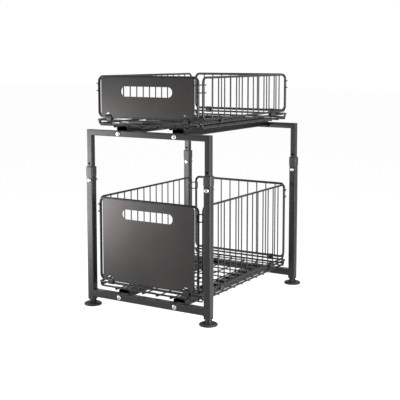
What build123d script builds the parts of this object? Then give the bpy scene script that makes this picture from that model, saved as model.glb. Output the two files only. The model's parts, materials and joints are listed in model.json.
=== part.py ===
from build123d import *
import os

os.makedirs("parts", exist_ok=True)

# Two-tier pull-out cabinet basket, millimetres.
# X runs across the front, Y towards the back, Z up; the feet stand on Z = 0.

# ---- Frame: two upright frames of square tube, front and rear ----
frame_width = 300.0        # outside the posts
frame_depth = 393.0        # front face of the front posts to back face of the rear posts
post_tube = 15.0           # lower tube, outside
post_wall = 1.2
post_corner = 1.6          # outside corner radius of the lower tube
post_bottom_z = 14.0
post_top_z = 291.0
bottom_bar_z = 26.5        # middle of the bottom bar
leg_tube = 12.0            # upper tube, slides in the lower one
leg_wall = 1.0
leg_corner = 1.2
top_bar_z = 366.0          # middle of the top bar
leg_overlap = 76.0         # length of upper leg inside the post
height_bolt_z = 266.0
height_pitch = 34.8        # spacing of the holes that set the height
leg_holes_below = 1        # spare holes under the bolted one
leg_holes_above = 1        # spare holes over the bolted one

# ---- Collar at the top of each post ----
collar_wall = 0.7
collar_skirt = 16.0        # length of collar over the post
collar_rim = 3.5           # height of collar above the post
collar_gap = 0.1           # collar to tube, each side
collar_bevel = 1.2

# ---- Fasteners ----
bolt_d = 5.0
bolt_hole_play = 0.2       # hole is this much larger than its bolt, on diameter
bolt_head_d = 9.0
bolt_head_h = 2.8
cap_nut_width = 8.0        # across flats
cap_nut_flange_d = 11.0
cap_nut_flange_h = 1.2
cap_nut_hex_h = 4.0
cap_nut_h = 11.0
cap_nut_wall = 2.0         # metal over the end of the bolt
screw_head_d = 10.0
screw_head_h = 2.4
head_flat = 0.6            # flat on top of a head, as a share of its diameter
head_shoulder = 0.92       # diameter at half height, as a share of the head's
dome_waist = 0.85          # cap nut's dome at half height, as a share of its base
dome_tip = 0.45            # and at its tip

# ---- Levelling feet ----
foot_disc_d = 37.0
foot_disc_h = 5.0
foot_bevel = 1.5
foot_neck_d = 12.0
foot_stud_d = 8.0
foot_stud_reach = 26.0     # stud above the neck
foot_play = 0.08           # stud to socket, each side
socket_flange_h = 1.5
socket_depth = 22.0
socket_gap = 0.1           # socket to the inside of the post, each side

# ---- Slides: fixed channel, ball cage and moving rail, two under each basket ----
rail_x = 68.0              # middle of each slide
channel_width = 27.0
channel_height = 14.2
channel_sheet = 1.2
channel_lip = 2.9          # inward lip, from the outside of the wall
channel_drop = 1.2         # lips below the underside of the cross wires
end_plate = 2.5
end_plate_height = 10.0
end_plate_inset = 0.5      # top of the plate below the top of its bar
rail_width = 19.6
rail_height = 5.4
rail_sheet = 1.2
rail_length = 340.0
cage_sheet = 0.6
cage_length = 120.0
cage_y = 22.0              # middle of the cage at rest, behind the middle of the frame
cage_drop = 6.8            # underside of cage below the cross wires
cage_top_gap = 0.3
ball_play = 0.05           # ball to each track
balls_per_side = 7
ball_drop = 4.1            # middle of the balls below the cross wires

# ---- Baskets ----
floor_z = {"lower": 40.0, "upper": 380.0}          # underside of the cross wires
panel_height = {"lower": 171.0, "upper": 81.5}     # hinge wire to top wire
floor_wire = 2.8
base_wire = 4.0
panel_wire = 5.4           # frame wire of the front and rear panels
side_wire = 4.4            # frame wire of the side panels
infill_wire = 2.6
base_step = 8.0            # between the two base wires
base_corner = 4.0
base_bend = 3.6            # bend of the lower base wires up to the upper one
base_inset = 0.2           # side riser to front riser, along the side
hinge_gap = 7.1            # upper base wire to hinge wire
panel_inset = 16.1         # middle of a front or rear panel's side wires inside the posts
panel_corner = 10.0
fold_play = 0.3            # folding panel to the straps of the side panels
side_setback = 13.0        # side panel's end wires behind the front panel's wire
side_infill_count = 13
side_end_gap = 29.9        # side panel's end wire to its first upright wire
rear_infill_count = 9
rear_end_gap = 22.9        # rear panel's side wire to its first upright wire
loop_pitch = 68.0          # between the long floor loops
loop_half_width = 17.0
loop_count = 3
loop_bend = 2.6
cross_count = 12
cross_end_gap = 5.2        # end of the floor loops to the first cross wire
cross_overhang = 0.12      # cross wires past the middle of the side base wires

# ---- Front plate ----
plate_inset = 7.9          # plate's sides inside the middle of the panel's side wires
plate_sheet = 1.2
plate_corner = 4.0
plate_below_top = 0.8      # plate's top edge below the middle of the top wire
plate_above_hinge = 0.9
plate_flange = 3.0         # return flange along both sides
slot_width = 124.0
slot_height = 20.3
slot_below_edge = 28.6     # middle of the slot below the plate's top edge
slot_rim = 1.0             # turned-in rim round the slot
slot_rim_depth = 2.4
notch_radius = 8.8

# ---- Hinge straps and corner hooks ----
front_strap_inset = 25.9   # middle of the front straps inside the panel's side wires
rear_strap_step = 3.5      # rear straps, in pitches of the rear upright wires from the middle
side_strap_step = 4.5      # side straps, in pitches of the side upright wires from the middle
strap_width = 12.0
strap_sheet = 0.8
strap_lean = 1.6           # side base wires inside the side panels
hinge_play = 0.08          # hinge wire to strap, each side
hook_wire = 2.4
hook_below_top = 14.0      # upper arm of the hook below the top wire
hook_height = 15.0
hook_play = 0.15           # panel wire to hook
hook_tail = 5.0
hook_reach = 1.0           # straight run of the arm past the end wire
hook_step = 2.5            # start of the grip behind the panel wire
hook_wrap = 1.0            # end of the grip inside the panel wire
hook_weld = 0.2            # hook wire sunk into the end wire by its weld
hook_bend = 2.0

# ---- Derived places ----
post_x = (frame_width - post_tube) / 2
centre_y = 0.0             # middle of the frame, front to rear
front_y = centre_y - (frame_depth - post_tube) / 2
rear_y = centre_y + (frame_depth - post_tube) / 2
leg_bottom_z = post_top_z - leg_overlap
panel_half_width = frame_width / 2 - post_tube - panel_inset
plate_half_width = panel_half_width - plate_inset
front_strap_x = panel_half_width - front_strap_inset
side_x = panel_half_width + panel_wire / 2 + fold_play + strap_sheet + hinge_play + side_wire / 2
base_half_width = side_x - strap_lean
side_front_y = front_y + side_setback
side_rear_y = rear_y - side_setback
side_pitch = (side_rear_y - side_front_y - 2 * side_end_gap) / (side_infill_count - 1)
rear_infill_pitch = 2 * (panel_half_width - rear_end_gap) / (rear_infill_count - 1)
floor_near_y = front_y + base_wire / 2 + floor_wire / 2
floor_far_y = rear_y - base_wire / 2 - floor_wire / 2
cross_pitch = (floor_far_y - floor_near_y - 2 * cross_end_gap) / (cross_count - 1)
cross_half_length = base_half_width + cross_overhang
bolt_hole_d = bolt_d + bolt_hole_play
bar_z = {"lower": bottom_bar_z, "upper": top_bar_z}
bar_tube = {"lower": post_tube, "upper": leg_tube}
post_places = [(x, y) for y in (front_y, rear_y) for x in (-post_x, post_x)]


def save(part, name):
    """Label a finished piece and write it to its own file."""
    part.label = name
    export_step(part, "parts/" + name + ".step")


def across(y, x_list, z, radius, length):
    """Pins or holes of one radius along Y, starting at y."""
    with BuildSketch(Plane.XZ.offset(-y)) as circles:
        with Locations(*[(x, z) for x in x_list]):
            Circle(radius)
    return extrude(circles.sketch, amount=-length, mode=Mode.PRIVATE)


def lower_frame(y):
    """Two posts and the bottom bar between them, one welded piece of open square tube."""
    inner = post_tube - 2 * post_wall
    with BuildPart() as frame:
        with BuildSketch(Plane.XY.offset(post_bottom_z)):
            with Locations((-post_x, y), (post_x, y)):
                RectangleRounded(post_tube, post_tube, post_corner)
        extrude(amount=post_top_z - post_bottom_z)
        with BuildSketch(Plane.YZ.offset(-post_x)):
            with Locations((y, bottom_bar_z)):
                RectangleRounded(post_tube, post_tube, post_corner)
        extrude(amount=2 * post_x)
        with BuildSketch(Plane.XY.offset(post_bottom_z)):
            with Locations((-post_x, y), (post_x, y)):
                Rectangle(inner, inner)
        extrude(amount=post_top_z - post_bottom_z, mode=Mode.SUBTRACT)
        with BuildSketch(Plane.YZ.offset(-post_x + post_tube / 2)):
            with Locations((y, bottom_bar_z)):
                Rectangle(inner, inner)
        extrude(amount=2 * post_x - post_tube, mode=Mode.SUBTRACT)
        bore = bolt_hole_d / 2
        add(across(y - post_tube, (-post_x, post_x), height_bolt_z, bore, 2 * post_tube), mode=Mode.SUBTRACT)
        add(across(y - post_tube, (-rail_x, rail_x), bottom_bar_z, bore, 2 * post_tube), mode=Mode.SUBTRACT)
    return frame.part


def upper_frame(y):
    """Inverted U of smaller tube with mitred corners; its legs slide in the posts."""
    inner = leg_tube - 2 * leg_wall
    with BuildPart() as frame:
        with BuildLine():
            Polyline(
                (-post_x, y, leg_bottom_z),
                (-post_x, y, top_bar_z),
                (post_x, y, top_bar_z),
                (post_x, y, leg_bottom_z),
            )
        with BuildSketch(Plane.XY.offset(leg_bottom_z)):
            with Locations((-post_x, y)):
                RectangleRounded(leg_tube, leg_tube, leg_corner)
                Rectangle(inner, inner, mode=Mode.SUBTRACT)
        sweep(transition=Transition.RIGHT)
        bore = bolt_hole_d / 2
        for step in range(-leg_holes_below, leg_holes_above + 1):
            z = height_bolt_z + step * height_pitch
            add(across(y - leg_tube, (-post_x, post_x), z, bore, 2 * leg_tube), mode=Mode.SUBTRACT)
        add(across(y - leg_tube, (-rail_x, rail_x), top_bar_z, bore, 2 * leg_tube), mode=Mode.SUBTRACT)
    return frame.part


def post_collars():
    """Plastic sleeves that close the gap between post and leg."""
    skirt = post_tube + 2 * (collar_gap + collar_wall)
    with BuildPart() as collars:
        with BuildSketch(Plane.XY.offset(post_top_z - collar_skirt)):
            with Locations(*post_places):
                RectangleRounded(skirt, skirt, post_corner + collar_wall)
        extrude(amount=collar_skirt + collar_rim)
        chamfer(collars.edges().group_by(Axis.Z)[-1], collar_bevel)
        with BuildSketch(Plane.XY.offset(post_top_z - collar_skirt)):
            with Locations(*post_places):
                RectangleRounded(post_tube + 2 * collar_gap, post_tube + 2 * collar_gap, post_corner)
        extrude(amount=collar_skirt, mode=Mode.SUBTRACT)
        with BuildSketch(Plane.XY.offset(post_top_z)):
            with Locations(*post_places):
                RectangleRounded(leg_tube + 2 * collar_gap, leg_tube + 2 * collar_gap, leg_corner)
        extrude(amount=collar_rim, mode=Mode.SUBTRACT)
    return collars.part


def turned(profile, places, z, turn):
    """One solid of revolution about Y for each place; profile is (radius, distance along Y)."""
    with BuildPart() as piece:
        with BuildSketch(Plane.XY):
            with BuildLine():
                Polyline(*profile, close=True)
            make_face()
        revolve(axis=Axis.Y)
    with BuildPart() as group:
        for x, y in places:
            add(piece.part.rotate(Axis.Z, turn).moved(Location((x, y, z))))
    return group.part


def headed(head_d, head_h, length):
    """Half outline of a screw or bolt with a rounded head, its shank along +Y."""
    head = head_d / 2
    return [
        (0, -head_h),
        (head * head_flat, -head_h),
        (head * head_shoulder, -head_h / 2),
        (head, 0),
        (bolt_d / 2, 0),
        (bolt_d / 2, length),
        (0, length),
    ]


def height_bolts():
    """Button-head bolts through post and leg, heads at the front of each post."""
    profile = headed(bolt_head_d, bolt_head_h, post_tube + cap_nut_h - cap_nut_wall)
    places = [(x, y - post_tube / 2) for x, y in post_places]
    return turned(profile, places, height_bolt_z, 0)


def cap_nuts():
    """Flanged cap nuts on the bolt ends, behind the posts."""
    back = post_tube / 2
    with BuildPart() as nuts:
        for x, y in post_places:
            face = Plane(origin=(x, y + back, height_bolt_z), x_dir=(1, 0, 0), z_dir=(0, 1, 0))
            with BuildSketch(face):
                Circle(cap_nut_flange_d / 2)
            extrude(amount=cap_nut_flange_h)
            with BuildSketch(face):
                RegularPolygon(cap_nut_width / 2, 6, major_radius=False)
            extrude(amount=cap_nut_flange_h + cap_nut_hex_h)
            dome_z = cap_nut_flange_h + cap_nut_hex_h
            dome = cap_nut_width / 2
            with BuildSketch(face.offset(dome_z)):
                Circle(dome)
            with BuildSketch(face.offset((dome_z + cap_nut_h) / 2)):
                Circle(dome * dome_waist)
            with BuildSketch(face.offset(cap_nut_h)):
                Circle(dome * dome_tip)
            loft(ruled=True)
            with BuildSketch(face):
                Circle(bolt_hole_d / 2)
            extrude(amount=cap_nut_h - cap_nut_wall, mode=Mode.SUBTRACT)
    return nuts.part


def rail_screws(tier):
    """Pan-head screws through a bar into the end plates of both slides, front and rear."""
    bar = bar_tube[tier]
    profile = headed(screw_head_d, screw_head_h, bar + end_plate)
    front = [(x, front_y - bar / 2) for x in (-rail_x, rail_x)]
    rear = [(x, rear_y + bar / 2) for x in (-rail_x, rail_x)]
    with BuildPart() as screws:
        add(turned(profile, front, bar_z[tier], 0))
        add(turned(profile, rear, bar_z[tier], 180))
    return screws.part


def foot_sockets():
    """Plastic plugs in the open post ends, bored for the studs of the feet."""
    plug = post_tube - 2 * post_wall - 2 * socket_gap
    with BuildPart() as sockets:
        with BuildSketch(Plane.XY.offset(post_bottom_z - socket_flange_h)):
            with Locations(*post_places):
                RectangleRounded(post_tube, post_tube, post_corner)
        extrude(amount=socket_flange_h)
        with BuildSketch(Plane.XY.offset(post_bottom_z)):
            with Locations(*post_places):
                RectangleRounded(plug, plug, post_corner / 2)
        extrude(amount=socket_depth)
        with BuildSketch(Plane.XY.offset(post_bottom_z - socket_flange_h)):
            with Locations(*post_places):
                Circle(foot_stud_d / 2 + foot_play)
        extrude(amount=socket_flange_h + socket_depth, mode=Mode.SUBTRACT)
    return sockets.part


def levelling_foot(x, y):
    """Round foot with neck and threaded stud, turned in one piece."""
    disc = foot_disc_d / 2
    neck_top = post_bottom_z - socket_flange_h
    with BuildPart() as foot:
        with BuildSketch(Plane.XZ):
            with BuildLine():
                Polyline(
                    (0, 0),
                    (disc - foot_bevel / 2, 0),
                    (disc, foot_bevel / 2),
                    (disc, foot_disc_h - foot_bevel),
                    (disc - 2 * foot_bevel, foot_disc_h),
                    (foot_neck_d / 2, foot_disc_h),
                    (foot_neck_d / 2, neck_top),
                    (foot_stud_d / 2, neck_top),
                    (foot_stud_d / 2, neck_top + foot_stud_reach),
                    (0, neck_top + foot_stud_reach),
                    close=True,
                )
            make_face()
        revolve(axis=Axis.Z)
    return foot.part.moved(Location((x, y, 0)))


def slide_channel(tier, x):
    """Fixed channel of folded sheet with inward lips and an end plate at each bar."""
    bar = bar_tube[tier]
    top = floor_z[tier] - channel_drop
    start = front_y + bar / 2
    end = rear_y - bar / 2
    half = channel_sheet / 2
    wall = channel_width / 2 - half
    lip = channel_width / 2 - channel_lip
    plate_top = bar_z[tier] + min(end_plate_height / 2, bar / 2 - end_plate_inset)
    with BuildPart() as channel:
        with BuildSketch(Plane.XZ.offset(-(start + end_plate))):
            with BuildLine():
                FilletPolyline(
                    (x - lip, top - half),
                    (x - wall, top - half),
                    (x - wall, top - channel_height + half),
                    (x + wall, top - channel_height + half),
                    (x + wall, top - half),
                    (x + lip, top - half),
                    radius=channel_sheet,
                )
            trace(line_width=channel_sheet)
        extrude(amount=-(end - start - 2 * end_plate))
        for y in (start, end - end_plate):
            with BuildSketch(Plane.XZ.offset(-y)):
                with Locations((x, plate_top - end_plate_height / 2)):
                    RectangleRounded(channel_width, end_plate_height, channel_sheet)
            extrude(amount=-end_plate)
            bore = bolt_hole_d / 2
            add(across(y - end_plate, (x,), bar_z[tier], bore, 3 * end_plate), mode=Mode.SUBTRACT)
    return channel.part


def slide_rail(tier, x):
    """Moving rail: inverted channel carried under the basket floor."""
    top = floor_z[tier]
    half = rail_sheet / 2
    side = rail_width / 2 - half
    with BuildPart() as rail:
        with BuildSketch(Plane.XZ.offset(-(centre_y - rail_length / 2))):
            with BuildLine():
                FilletPolyline(
                    (x - side, top - rail_height),
                    (x - side, top - half),
                    (x + side, top - half),
                    (x + side, top - rail_height),
                    radius=rail_sheet,
                )
            trace(line_width=rail_sheet)
        extrude(amount=-rail_length)
    return rail.part


def ball_cage(tier, x):
    """Cage between channel and rail, with its balls standing out of both side walls."""
    track = channel_width / 2 - channel_sheet - rail_width / 2
    ball = track / 2 - ball_play
    side = rail_width / 2 + track / 2
    top = floor_z[tier] - channel_drop - channel_sheet - cage_top_gap
    bottom = floor_z[tier] - cage_drop
    start = centre_y + cage_y - cage_length / 2
    pitch = cage_length / balls_per_side
    with BuildPart() as cage:
        with BuildSketch(Plane.XZ.offset(-start)):
            with BuildLine():
                FilletPolyline(
                    (x - side, top),
                    (x - side, bottom + cage_sheet / 2),
                    (x + side, bottom + cage_sheet / 2),
                    (x + side, top),
                    radius=cage_sheet,
                )
            trace(line_width=cage_sheet)
        extrude(amount=-cage_length)
        places = []
        for i in range(balls_per_side):
            places.append((start + pitch * (i + 0.5), floor_z[tier] - ball_drop))
        with BuildSketch(Plane.YZ.offset(x - rail_width)):
            with Locations(*places):
                Circle(ball + ball_play)
        extrude(amount=2 * rail_width, mode=Mode.SUBTRACT)
        for y, z in places:
            with Locations((x - side, y, z), (x + side, y, z)):
                Sphere(ball)
    return cage.part


def wire_run(points, radius, diameter, closed=False):
    """Round wire bent along a run of points."""
    with BuildPart() as wire:
        with BuildLine() as path:
            FilletPolyline(*points, radius=radius, close=closed)
        with BuildSketch(Plane(origin=path.line @ 0, z_dir=path.line % 0)):
            Circle(diameter / 2)
        sweep()
    return wire.part


def wire_ring(plane, width, height, corner, diameter):
    """Closed wire with rounded corners, in a plane through its middle."""
    with BuildPart() as ring:
        with BuildLine(plane) as path:
            half_w = width / 2
            half_h = height / 2
            low_right = (half_w, -half_h + corner)
            top_right = (half_w, half_h - corner)
            top_left = (-half_w, half_h - corner)
            low_left = (-half_w, -half_h + corner)
            Line(low_right, top_right)
            RadiusArc(top_right, (half_w - corner, half_h), -corner)
            Line((half_w - corner, half_h), (-half_w + corner, half_h))
            RadiusArc((-half_w + corner, half_h), top_left, -corner)
            Line(top_left, low_left)
            RadiusArc(low_left, (-half_w + corner, -half_h), -corner)
            Line((-half_w + corner, -half_h), (half_w - corner, -half_h))
            RadiusArc((half_w - corner, -half_h), low_right, -corner)
        with BuildSketch(Plane(origin=path.line @ 0, z_dir=path.line % 0)):
            Circle(diameter / 2)
        sweep()
    return ring.part


def basket_base(tier):
    """Base ring, with a second wire under each side that turns up at the corners."""
    top = floor_z[tier] + floor_wire + base_wire / 2 + base_step
    low = top - base_step
    depth = rear_y - front_y
    ring_plane = Plane(origin=(0, centre_y, top), x_dir=(1, 0, 0), z_dir=(0, 0, 1))
    inset = base_wire + base_inset
    with BuildPart() as base:
        add(wire_ring(ring_plane, 2 * base_half_width, depth, base_corner, base_wire))
        for y in (front_y, rear_y):
            reach = base_half_width - base_corner
            run = [(-reach, y, top), (-reach, y, low), (reach, y, low), (reach, y, top)]
            add(wire_run(run, base_bend, base_wire))
        for x in (-base_half_width, base_half_width):
            near = front_y + base_corner + inset
            far = rear_y - base_corner - inset
            run = [(x, near, top), (x, near, low), (x, far, low), (x, far, top)]
            add(wire_run(run, base_bend, base_wire))
    return base.part


def basket_floor(tier):
    """Long floor loops that step down behind the base wire, and the cross wires on them."""
    z = floor_z[tier]
    low = z - floor_wire / 2
    high = z + floor_wire + base_wire / 2
    near = floor_near_y
    far = floor_far_y
    with BuildPart() as floor:
        for i in range(loop_count):
            middle = (i - (loop_count - 1) / 2) * loop_pitch
            left = middle - loop_half_width
            right = middle + loop_half_width
            run = [
                (left, near, high),
                (left, near, low),
                (left, far, low),
                (left, far, high),
                (right, far, high),
                (right, far, low),
                (right, near, low),
                (right, near, high),
            ]
            add(wire_run(run, loop_bend, floor_wire, closed=True))
        places = []
        for i in range(cross_count):
            places.append((centre_y + (i - (cross_count - 1) / 2) * cross_pitch, z + floor_wire / 2))
        with BuildSketch(Plane.YZ.offset(-cross_half_length)):
            with Locations(*places):
                Circle(floor_wire / 2)
        extrude(amount=2 * cross_half_length)
    return floor.part


def hinge_z(tier):
    return floor_z[tier] + floor_wire + base_wire / 2 + base_step + hinge_gap


def infill(plane, places, bottom, top):
    """Upright wires between a hinge wire and a top wire."""
    with BuildPart() as wires:
        with BuildSketch(plane.offset(bottom)):
            with Locations(*places):
                Circle(infill_wire / 2)
        extrude(amount=top - bottom)
    return wires.part


def corner_hook(tier, x_sign, y_sign):
    """Hairpin of wire welded to a side panel's end wire; its bend holds the next panel's wire."""
    wire_y = front_y if y_sign < 0 else rear_y
    end_y = side_front_y if y_sign < 0 else side_rear_y
    out = -y_sign
    outside = side_x + side_wire / 2 + hook_wire / 2 - hook_weld
    grip = panel_wire / 2 + hook_play + hook_wire / 2
    near = panel_half_width + grip
    top = hinge_z(tier) + panel_height[tier] - hook_below_top
    arm = [
        (x_sign * outside, end_y + out * hook_tail),
        (x_sign * outside, end_y - out * hook_reach),
        (x_sign * near, wire_y + out * hook_step),
        (x_sign * near, wire_y - out * grip),
        (x_sign * (panel_half_width - hook_wrap), wire_y - out * grip),
    ]
    run = [(px, py, top) for px, py in arm]
    run += [(px, py, top - hook_height) for px, py in reversed(arm)]
    return wire_run(run, hook_bend, hook_wire)


def side_panel(tier, x_sign):
    """Wire side panel: rounded frame, upright wires and a hook at each end."""
    bottom = hinge_z(tier)
    height = panel_height[tier]
    x = x_sign * side_x
    plane = Plane(origin=(x, centre_y, bottom + height / 2), x_dir=(0, 1, 0), z_dir=(1, 0, 0))
    places = []
    for i in range(side_infill_count):
        places.append((x, centre_y + (i - (side_infill_count - 1) / 2) * side_pitch))
    with BuildPart() as panel:
        add(wire_ring(plane, side_rear_y - side_front_y, height, panel_corner, side_wire))
        add(infill(Plane.XY, places, bottom, bottom + height))
        for y_sign in (-1, 1):
            add(corner_hook(tier, x_sign, y_sign))
    return panel.part


def panel_frame(tier, y):
    """Rounded frame wire of a front or rear panel; its bottom run is the hinge wire."""
    middle = hinge_z(tier) + panel_height[tier] / 2
    plane = Plane(origin=(0, y, middle), x_dir=(1, 0, 0), z_dir=(0, -1, 0))
    return wire_ring(plane, 2 * panel_half_width, panel_height[tier], panel_corner, panel_wire)


def rear_panel(tier):
    """Rear panel: frame wire and upright wires."""
    bottom = hinge_z(tier)
    places = []
    for i in range(rear_infill_count):
        places.append(((i - (rear_infill_count - 1) / 2) * rear_infill_pitch, rear_y))
    with BuildPart() as panel:
        add(panel_frame(tier, rear_y))
        add(infill(Plane.XY, places, bottom, bottom + panel_height[tier]))
    return panel.part


def front_plate(tier):
    """Pressed front plate: hand slot with a turned-in rim, side flanges and hinge notches."""
    bottom = hinge_z(tier) + plate_above_hinge
    top = hinge_z(tier) + panel_height[tier] - plate_below_top
    height = top - bottom
    back = front_y - panel_wire / 2
    slot_z = top - slot_below_edge
    with BuildPart() as plate:
        with BuildSketch(Plane.XZ.offset(-back)):
            with Locations((0, (top + bottom) / 2)):
                RectangleRounded(2 * plate_half_width, height, plate_corner)
        extrude(amount=plate_sheet)
        for x in (-plate_half_width, plate_half_width - plate_sheet):
            with BuildSketch(Plane.YZ.offset(x)):
                with Locations((back + plate_flange / 2, (top + bottom) / 2)):
                    Rectangle(plate_flange, height - 2 * plate_corner)
            extrude(amount=plate_sheet)
        with BuildSketch(Plane.XZ.offset(-back)):
            with Locations((0, slot_z)):
                SlotOverall(slot_width + 2 * slot_rim, slot_height + 2 * slot_rim)
        extrude(amount=-(slot_rim_depth - plate_sheet))
        with BuildSketch(Plane.XZ.offset(-(back + slot_rim_depth))):
            with Locations((0, slot_z)):
                SlotOverall(slot_width, slot_height)
        extrude(amount=2 * slot_rim_depth, mode=Mode.SUBTRACT)
        with BuildSketch(Plane.XZ.offset(-(back + plate_sheet))):
            with Locations((-front_strap_x, hinge_z(tier)), (front_strap_x, hinge_z(tier))):
                Circle(notch_radius)
        extrude(amount=3 * plate_sheet, mode=Mode.SUBTRACT)
    return plate.part


def strap(plane, separation, base_offset, inner):
    """Sheet strap folded round a base wire and a hinge wire; plane looks along both wires."""
    length = separation - base_offset
    with BuildPart() as band:
        with BuildSketch(plane):
            with Locations((0, (separation + base_offset) / 2)):
                with Locations(Rotation(0, 0, 90)):
                    SlotCenterToCenter(length, 2 * (inner + strap_sheet))
                    SlotCenterToCenter(length, 2 * inner, mode=Mode.SUBTRACT)
        extrude(amount=strap_width / 2, both=True)
    return band.part


def hinge_straps(tier):
    """Straps that hang the four panels of a basket on its base."""
    base = hinge_z(tier) - hinge_gap
    with BuildPart() as straps:
        inner = panel_wire / 2 + hinge_play
        rear_strap_x = rear_strap_step * rear_infill_pitch
        for y, strap_x in ((front_y, front_strap_x), (rear_y, rear_strap_x)):
            for x in (-strap_x, strap_x):
                plane = Plane(origin=(x, y, base), x_dir=(0, 1, 0), z_dir=(1, 0, 0))
                add(strap(plane, hinge_gap, inner - base_wire / 2, inner))
        inner = side_wire / 2 + hinge_play
        lean = side_x - base_half_width
        reach = (lean**2 + hinge_gap**2) ** 0.5
        strap_y = side_strap_step * side_pitch
        for x_sign in (-1, 1):
            for y in (centre_y - strap_y, centre_y + strap_y):
                origin = (x_sign * base_half_width, y, base)
                side_dir = (hinge_gap, 0, -x_sign * lean)
                plane = Plane(origin=origin, x_dir=side_dir, z_dir=(0, -1, 0))
                add(strap(plane, reach, inner - base_wire / 2, inner))
    return straps.part


save(lower_frame(front_y), "front_lower_frame")
save(lower_frame(rear_y), "rear_lower_frame")
save(upper_frame(front_y), "front_upper_frame")
save(upper_frame(rear_y), "rear_upper_frame")
save(post_collars(), "post_collars")
save(height_bolts(), "height_bolts")
save(cap_nuts(), "cap_nuts")
save(foot_sockets(), "foot_sockets")

foot_names = ("foot_front_left", "foot_front_right", "foot_rear_left", "foot_rear_right")
for foot_name, (foot_x, foot_y) in zip(foot_names, post_places):
    save(levelling_foot(foot_x, foot_y), foot_name)

for level in ("lower", "upper"):
    save(rail_screws(level), level + "_rail_screws")
    for side, sign in (("left", -1), ("right", 1)):
        save(slide_channel(level, sign * rail_x), level + "_channel_" + side)
        save(ball_cage(level, sign * rail_x), level + "_cage_" + side)
        save(slide_rail(level, sign * rail_x), level + "_rail_" + side)
        save(side_panel(level, sign), level + "_side_" + side)
    save(basket_base(level), level + "_base")
    save(basket_floor(level), level + "_floor")
    save(hinge_straps(level), level + "_hinge_straps")
    save(panel_frame(level, front_y), level + "_front_wire")
    save(front_plate(level), level + "_front_plate")
    save(rear_panel(level), level + "_rear_panel")
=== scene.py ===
"""Pull-out cabinet basket: finishes, welds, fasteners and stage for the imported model.

Two wire baskets with slotted front plates run on ball slides between two frames of
square tube. Every piece stands where its CAD node stands, except that the side panels'
front ends are drawn a few millimetres forward. Lengths are in metres.
"""
import json
import math

import bmesh
import bpy
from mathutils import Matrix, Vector

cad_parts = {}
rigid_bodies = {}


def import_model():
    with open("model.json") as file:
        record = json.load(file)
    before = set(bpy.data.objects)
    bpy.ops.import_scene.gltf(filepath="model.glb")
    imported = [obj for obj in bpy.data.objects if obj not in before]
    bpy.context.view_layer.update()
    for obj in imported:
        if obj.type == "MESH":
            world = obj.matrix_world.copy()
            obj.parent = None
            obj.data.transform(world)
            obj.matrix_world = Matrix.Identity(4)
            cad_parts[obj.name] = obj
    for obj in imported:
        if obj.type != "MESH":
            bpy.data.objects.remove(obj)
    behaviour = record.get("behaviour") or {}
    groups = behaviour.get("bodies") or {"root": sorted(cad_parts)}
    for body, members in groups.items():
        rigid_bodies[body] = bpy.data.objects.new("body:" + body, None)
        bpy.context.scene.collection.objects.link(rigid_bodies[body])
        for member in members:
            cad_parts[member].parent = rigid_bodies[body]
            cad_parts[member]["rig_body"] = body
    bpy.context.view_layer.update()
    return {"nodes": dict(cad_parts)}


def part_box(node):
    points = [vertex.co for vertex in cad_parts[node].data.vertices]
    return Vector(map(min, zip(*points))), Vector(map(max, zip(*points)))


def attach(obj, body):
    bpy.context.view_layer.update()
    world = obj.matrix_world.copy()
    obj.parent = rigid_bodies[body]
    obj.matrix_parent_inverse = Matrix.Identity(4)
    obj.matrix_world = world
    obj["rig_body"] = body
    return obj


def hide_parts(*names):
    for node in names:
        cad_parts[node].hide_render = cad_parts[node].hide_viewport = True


bl_info = {
    "name": "Pull-out Cabinet Basket",
    "version": (1, 0, 0),
    "blender": (4, 5, 0),
    "location": "3D View > Sidebar > Basket",
    "description": "Finishes, welds, fasteners and stage of a two-tier pull-out basket",
    "category": "Object",
}

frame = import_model()
MM = 0.001
TIERS = ("lower", "upper")
SIDES = ("left", "right")
FEET = ("front_left", "front_right", "rear_left", "rear_right")
MERGE_DISTANCE = 0.002 * MM
SMOOTH_ANGLE = math.radians(32)
WHITE = (1.0, 1.0, 1.0, 1.0)
# Nearly all values of a noise texture lie between these.
NOISE_RANGE = {"From Min": 0.3, "From Max": 0.7}

# Sizes of the solids that their boxes don't give.
POST_TUBE = 15.0 * MM
BOTTOM_BAR_Z = 19.0 * MM  # under side of the bars between the posts
BOLT_HEAD = 2.8 * MM  # height of the height bolts' heads
SCREW_HEAD = 2.4 * MM  # height of the rail screws' heads
FLOOR_WIRE = 2.8 * MM
CROSS_END = 1.6 * MM  # from the end of a cross wire to its weld on the base
REAR_UPRIGHTS = 9
REAR_PITCH = 24.0 * MM
SIDE_UPRIGHTS = 13
SIDE_PITCH = 24.35 * MM
SIDE_X = 124.98 * MM  # middle of a side panel's wires
SIDE_EDGE = 4.1 * MM  # from the edge of a side panel to its welds


def linear(hex_colour):
    """An sRGB hex colour as linear values, with full alpha."""
    values = []
    for start in (1, 3, 5):
        channel = int(hex_colour[start:start + 2], 16) / 255
        if channel <= 0.04045:
            values.append(channel / 12.92)
        else:
            values.append(((channel + 0.055) / 1.055) ** 2.4)
    return (*values, 1.0)


def colour_setting(name, description, hex_colour):
    """A colour that the panel shows as a swatch."""
    return bpy.props.FloatVectorProperty(
        name=name,
        description=description,
        subtype="COLOR",
        size=4,
        min=0.0,
        max=1.0,
        default=linear(hex_colour),
    )


def length_setting(name, description, millimetres):
    """A length that the panel shows in scene units."""
    return bpy.props.FloatProperty(
        name=name,
        description=description,
        subtype="DISTANCE",
        unit="LENGTH",
        precision=5,
        min=0.0,
        default=millimetres * MM,
    )


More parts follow.
